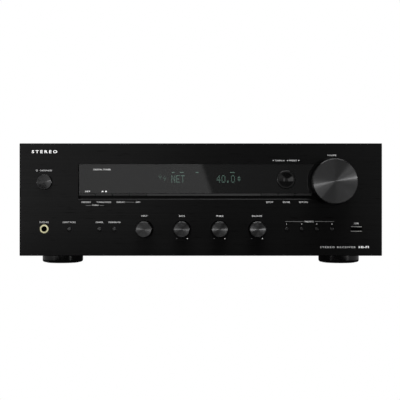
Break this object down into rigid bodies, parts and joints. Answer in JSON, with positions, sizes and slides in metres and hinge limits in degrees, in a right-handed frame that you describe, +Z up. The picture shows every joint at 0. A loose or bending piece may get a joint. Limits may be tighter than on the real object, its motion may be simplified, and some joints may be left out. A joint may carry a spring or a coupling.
{
  "type": "stereo receiver",
  "caption": "Full-width hi-fi stereo receiver with a black brushed front, dot display, large volume knob, small tone knobs, push buttons and rear speaker posts.",
  "frame": {"origin": "middle of the whole object's footprint, at the height of the surface it stands on", "axes": "+X to the right seen from the front, the front faces -Y, +Z up"},
  "size_m": [0.435, 0.328, 0.1455],
  "materials": {
    "panel_aluminium": "black anodised, horizontally brushed",
    "knob_aluminium": "black anodised, spun face",
    "smoked_window": "smoked acrylic, polished",
    "display_glass": "dark display tube",
    "gloss_black": "polished",
    "black_plastic": "fine texture",
    "button_plastic": "satin",
    "painted_steel": "black textured paint",
    "bare_steel": "zinc plated",
    "foot_plastic": "satin black",
    "foot_felt": "soft pad",
    "gold_plate": "polished gold plate",
    "nickel_plate": "bright nickel plate",
    "red_plastic": "clear red grip",
    "black_grip": "clear black grip",
    "circuit_board": "solder resist",
    "laminated_steel": "varnished laminations",
    "winding_tape": "yellow insulating tape",
    "sink_aluminium": "dark anodised extrusion",
    "capacitor_sleeve": "shrink sleeve",
    "legend_ink": "silk-screened pale grey ink",
    "display_phosphor": "lit dots of the fluorescent display",
    "socket_collars": "coloured collars of the phono sockets"
  },
  "bodies": {
    "chassis": {"front_panel": "panel_aluminium", "front_frame": "black_plastic", "display_window": "smoked_window", "display_module": "display_glass", "control_board": "circuit_board", "rotary_controls": "bare_steel", "phones_jack": "gold_plate", "phones_nut": "nickel_plate", "usb_socket": "nickel_plate", "bottom_chassis": "painted_steel", "rear_panel": "painted_steel", "top_cover": "painted_steel", "transformer_core": "laminated_steel", "transformer_winding": "winding_tape", "heat_sink": "sink_aluminium", "output_transistors": "black_plastic", "main_board": "circuit_board", "filter_capacitors": "capacitor_sleeve", "rca_jacks": "nickel_plate", "speaker_terminal_block": "black_plastic", "speaker_posts": "gold_plate", "mains_inlet": "black_plastic", "rear_sockets": "nickel_plate", "feet": "foot_plastic", "foot_pads": "foot_felt", "screws": "bare_steel"},
    "power_button": {"power_button": "knob_aluminium"},
    "pure_mode_button": {"pure_mode_button": "button_plastic"},
    "dimming_button": {"dimming_button": "button_plastic"},
    "speakers_button": {"speakers_button": "button_plastic"},
    "preset_button_1": {"preset_button_1": "button_plastic"},
    "preset_button_2": {"preset_button_2": "button_plastic"},
    "preset_button_3": {"preset_button_3": "button_plastic"},
    "preset_button_4": {"preset_button_4": "button_plastic"},
    "memory_button": {"memory_button": "button_plastic"},
    "tuning_button": {"tuning_button": "button_plastic"},
    "display_button": {"display_button": "button_plastic"},
    "dimmer_button": {"dimmer_button": "button_plastic"},
    "setup_button": {"setup_button": "button_plastic"},
    "enter_button": {"enter_button": "button_plastic"},
    "return_button": {"return_button": "button_plastic"},
    "volume_knob": {"volume_knob": "knob_aluminium"},
    "input_knob": {"input_knob": "knob_aluminium"},
    "bass_knob": {"bass_knob": "knob_aluminium"},
    "treble_knob": {"treble_knob": "knob_aluminium"},
    "balance_knob": {"balance_knob": "knob_aluminium"},
    "cursor_pivot": {"cursor_pivot": "black_plastic"},
    "cursor_pad": {"cursor_pad": "gloss_black"},
    "post_cap_1": {"post_cap_1": "red_plastic"},
    "post_cap_2": {"post_cap_2": "red_plastic"},
    "post_cap_3": {"post_cap_3": "black_grip"},
    "post_cap_4": {"post_cap_4": "black_grip"},
    "post_cap_5": {"post_cap_5": "red_plastic"},
    "post_cap_6": {"post_cap_6": "red_plastic"},
    "post_cap_7": {"post_cap_7": "black_grip"},
    "post_cap_8": {"post_cap_8": "black_grip"},
    "aerial_base_left": {"aerial_base_left": "black_plastic"},
    "aerial_blade_left": {"aerial_blade_left": "black_plastic"},
    "aerial_base_right": {"aerial_base_right": "black_plastic"},
    "aerial_blade_right": {"aerial_blade_right": "black_plastic"}
  },
  "joints": [
    {"name": "power_button_press", "type": "slide", "parent": "chassis", "child": "power_button", "axis": [0, 1, 0], "range_m": [0, 0.0012], "stiffness_N_per_m": 900, "springref_m": -0.0004},
    {"name": "pure_mode_button_press", "type": "slide", "parent": "chassis", "child": "pure_mode_button", "axis": [0, 1, 0], "range_m": [0, 0.0009], "stiffness_N_per_m": 700, "springref_m": -0.0004},
    {"name": "dimming_button_press", "type": "slide", "parent": "chassis", "child": "dimming_button", "axis": [0, 1, 0], "range_m": [0, 0.0009], "stiffness_N_per_m": 700, "springref_m": -0.0004},
    {"name": "speakers_button_press", "type": "slide", "parent": "chassis", "child": "speakers_button", "axis": [0, 1, 0], "range_m": [0, 0.0009], "stiffness_N_per_m": 700, "springref_m": -0.0004},
    {"name": "preset_button_1_press", "type": "slide", "parent": "chassis", "child": "preset_button_1", "axis": [0, 1, 0], "range_m": [0, 0.0009], "stiffness_N_per_m": 700, "springref_m": -0.0004},
    {"name": "preset_button_2_press", "type": "slide", "parent": "chassis", "child": "preset_button_2", "axis": [0, 1, 0], "range_m": [0, 0.0009], "stiffness_N_per_m": 700, "springref_m": -0.0004},
    {"name": "preset_button_3_press", "type": "slide", "parent": "chassis", "child": "preset_button_3", "axis": [0, 1, 0], "range_m": [0, 0.0009], "stiffness_N_per_m": 700, "springref_m": -0.0004},
    {"name": "preset_button_4_press", "type": "slide", "parent": "chassis", "child": "preset_button_4", "axis": [0, 1, 0], "range_m": [0, 0.0009], "stiffness_N_per_m": 700, "springref_m": -0.0004},
    {"name": "memory_button_press", "type": "slide", "parent": "chassis", "child": "memory_button", "axis": [0, 1, 0], "range_m": [0, 0.0009], "stiffness_N_per_m": 700, "springref_m": -0.0004},
    {"name": "tuning_button_press", "type": "slide", "parent": "chassis", "child": "tuning_button", "axis": [0, 1, 0], "range_m": [0, 0.0009], "stiffness_N_per_m": 700, "springref_m": -0.0004},
    {"name": "display_button_press", "type": "slide", "parent": "chassis", "child": "display_button", "axis": [0, 1, 0], "range_m": [0, 0.0009], "stiffness_N_per_m": 700, "springref_m": -0.0004},
    {"name": "dimmer_button_press", "type": "slide", "parent": "chassis", "child": "dimmer_button", "axis": [0, 1, 0], "range_m": [0, 0.0009], "stiffness_N_per_m": 700, "springref_m": -0.0004},
    {"name": "setup_button_press", "type": "slide", "parent": "chassis", "child": "setup_button", "axis": [0, 1, 0], "range_m": [0, 0.0009], "stiffness_N_per_m": 700, "springref_m": -0.0004},
    {"name": "enter_button_press", "type": "slide", "parent": "chassis", "child": "enter_button", "axis": [0, 1, 0], "range_m": [0, 0.0009], "stiffness_N_per_m": 700, "springref_m": -0.0004},
    {"name": "return_button_press", "type": "slide", "parent": "chassis", "child": "return_button", "axis": [0, 1, 0], "range_m": [0, 0.0009], "stiffness_N_per_m": 700, "springref_m": -0.0004},
    {"name": "volume_knob_turn", "type": "hinge", "parent": "chassis", "child": "volume_knob", "pos_m": [0.1573, -0.144, 0.0995], "axis": [0, -1, 0], "continuous": true},
    {"name": "input_knob_turn", "type": "hinge", "parent": "chassis", "child": "input_knob", "pos_m": [-0.0676, -0.144, 0.0425], "axis": [0, -1, 0], "continuous": true},
    {"name": "bass_knob_turn", "type": "hinge", "parent": "chassis", "child": "bass_knob", "pos_m": [-0.02253, -0.144, 0.0425], "axis": [0, -1, 0], "range_deg": [-150, 150]},
    {"name": "treble_knob_turn", "type": "hinge", "parent": "chassis", "child": "treble_knob", "pos_m": [0.02253, -0.144, 0.0425], "axis": [0, -1, 0], "range_deg": [-150, 150]},
    {"name": "balance_knob_turn", "type": "hinge", "parent": "chassis", "child": "balance_knob", "pos_m": [0.0676, -0.144, 0.0425], "axis": [0, -1, 0], "range_deg": [-150, 150]},
    {"name": "cursor_left_right", "type": "hinge", "parent": "chassis", "child": "cursor_pivot", "pos_m": [0.1023, -0.1285, 0.102], "axis": [0, 0, 1], "range_deg": [-3, 3], "stiffness_Nm_per_rad": 0.4},
    {"name": "cursor_up_down", "type": "hinge", "parent": "cursor_pivot", "child": "cursor_pad", "pos_m": [0.1023, -0.1285, 0.102], "axis": [1, 0, 0], "range_deg": [-3, 3], "stiffness_Nm_per_rad": 0.4},
    {"name": "post_cap_1_unscrew", "type": "slide", "parent": "chassis", "child": "post_cap_1", "axis": [0, 1, 0], "range_m": [0, 0.0045]},
    {"name": "post_cap_2_unscrew", "type": "slide", "parent": "chassis", "child": "post_cap_2", "axis": [0, 1, 0], "range_m": [0, 0.0045]},
    {"name": "post_cap_3_unscrew", "type": "slide", "parent": "chassis", "child": "post_cap_3", "axis": [0, 1, 0], "range_m": [0, 0.0045]},
    {"name": "post_cap_4_unscrew", "type": "slide", "parent": "chassis", "child": "post_cap_4", "axis": [0, 1, 0], "range_m": [0, 0.0045]},
    {"name": "post_cap_5_unscrew", "type": "slide", "parent": "chassis", "child": "post_cap_5", "axis": [0, 1, 0], "range_m": [0, 0.0045]},
    {"name": "post_cap_6_unscrew", "type": "slide", "parent": "chassis", "child": "post_cap_6", "axis": [0, 1, 0], "range_m": [0, 0.0045]},
    {"name": "post_cap_7_unscrew", "type": "slide", "parent": "chassis", "child": "post_cap_7", "axis": [0, 1, 0], "range_m": [0, 0.0045]},
    {"name": "post_cap_8_unscrew", "type": "slide", "parent": "chassis", "child": "post_cap_8", "axis": [0, 1, 0], "range_m": [0, 0.0045]},
    {"name": "aerial_left_swivel", "type": "hinge", "parent": "chassis", "child": "aerial_base_left", "pos_m": [-0.2, 0.144, 0.1265], "axis": [0, 1, 0], "range_deg": [0, 180]},
    {"name": "aerial_left_fold", "type": "hinge", "parent": "aerial_base_left", "child": "aerial_blade_left", "pos_m": [-0.2, 0.1525, 0.1265], "axis": [1, 0, 0], "range_deg": [0, 90]},
    {"name": "aerial_right_swivel", "type": "hinge", "parent": "chassis", "child": "aerial_base_right", "pos_m": [0.2, 0.144, 0.1265], "axis": [0, -1, 0], "range_deg": [0, 180]},
    {"name": "aerial_right_fold", "type": "hinge", "parent": "aerial_base_right", "child": "aerial_blade_right", "pos_m": [0.2, 0.1525, 0.1265], "axis": [1, 0, 0], "range_deg": [0, 90]}
  ]
}
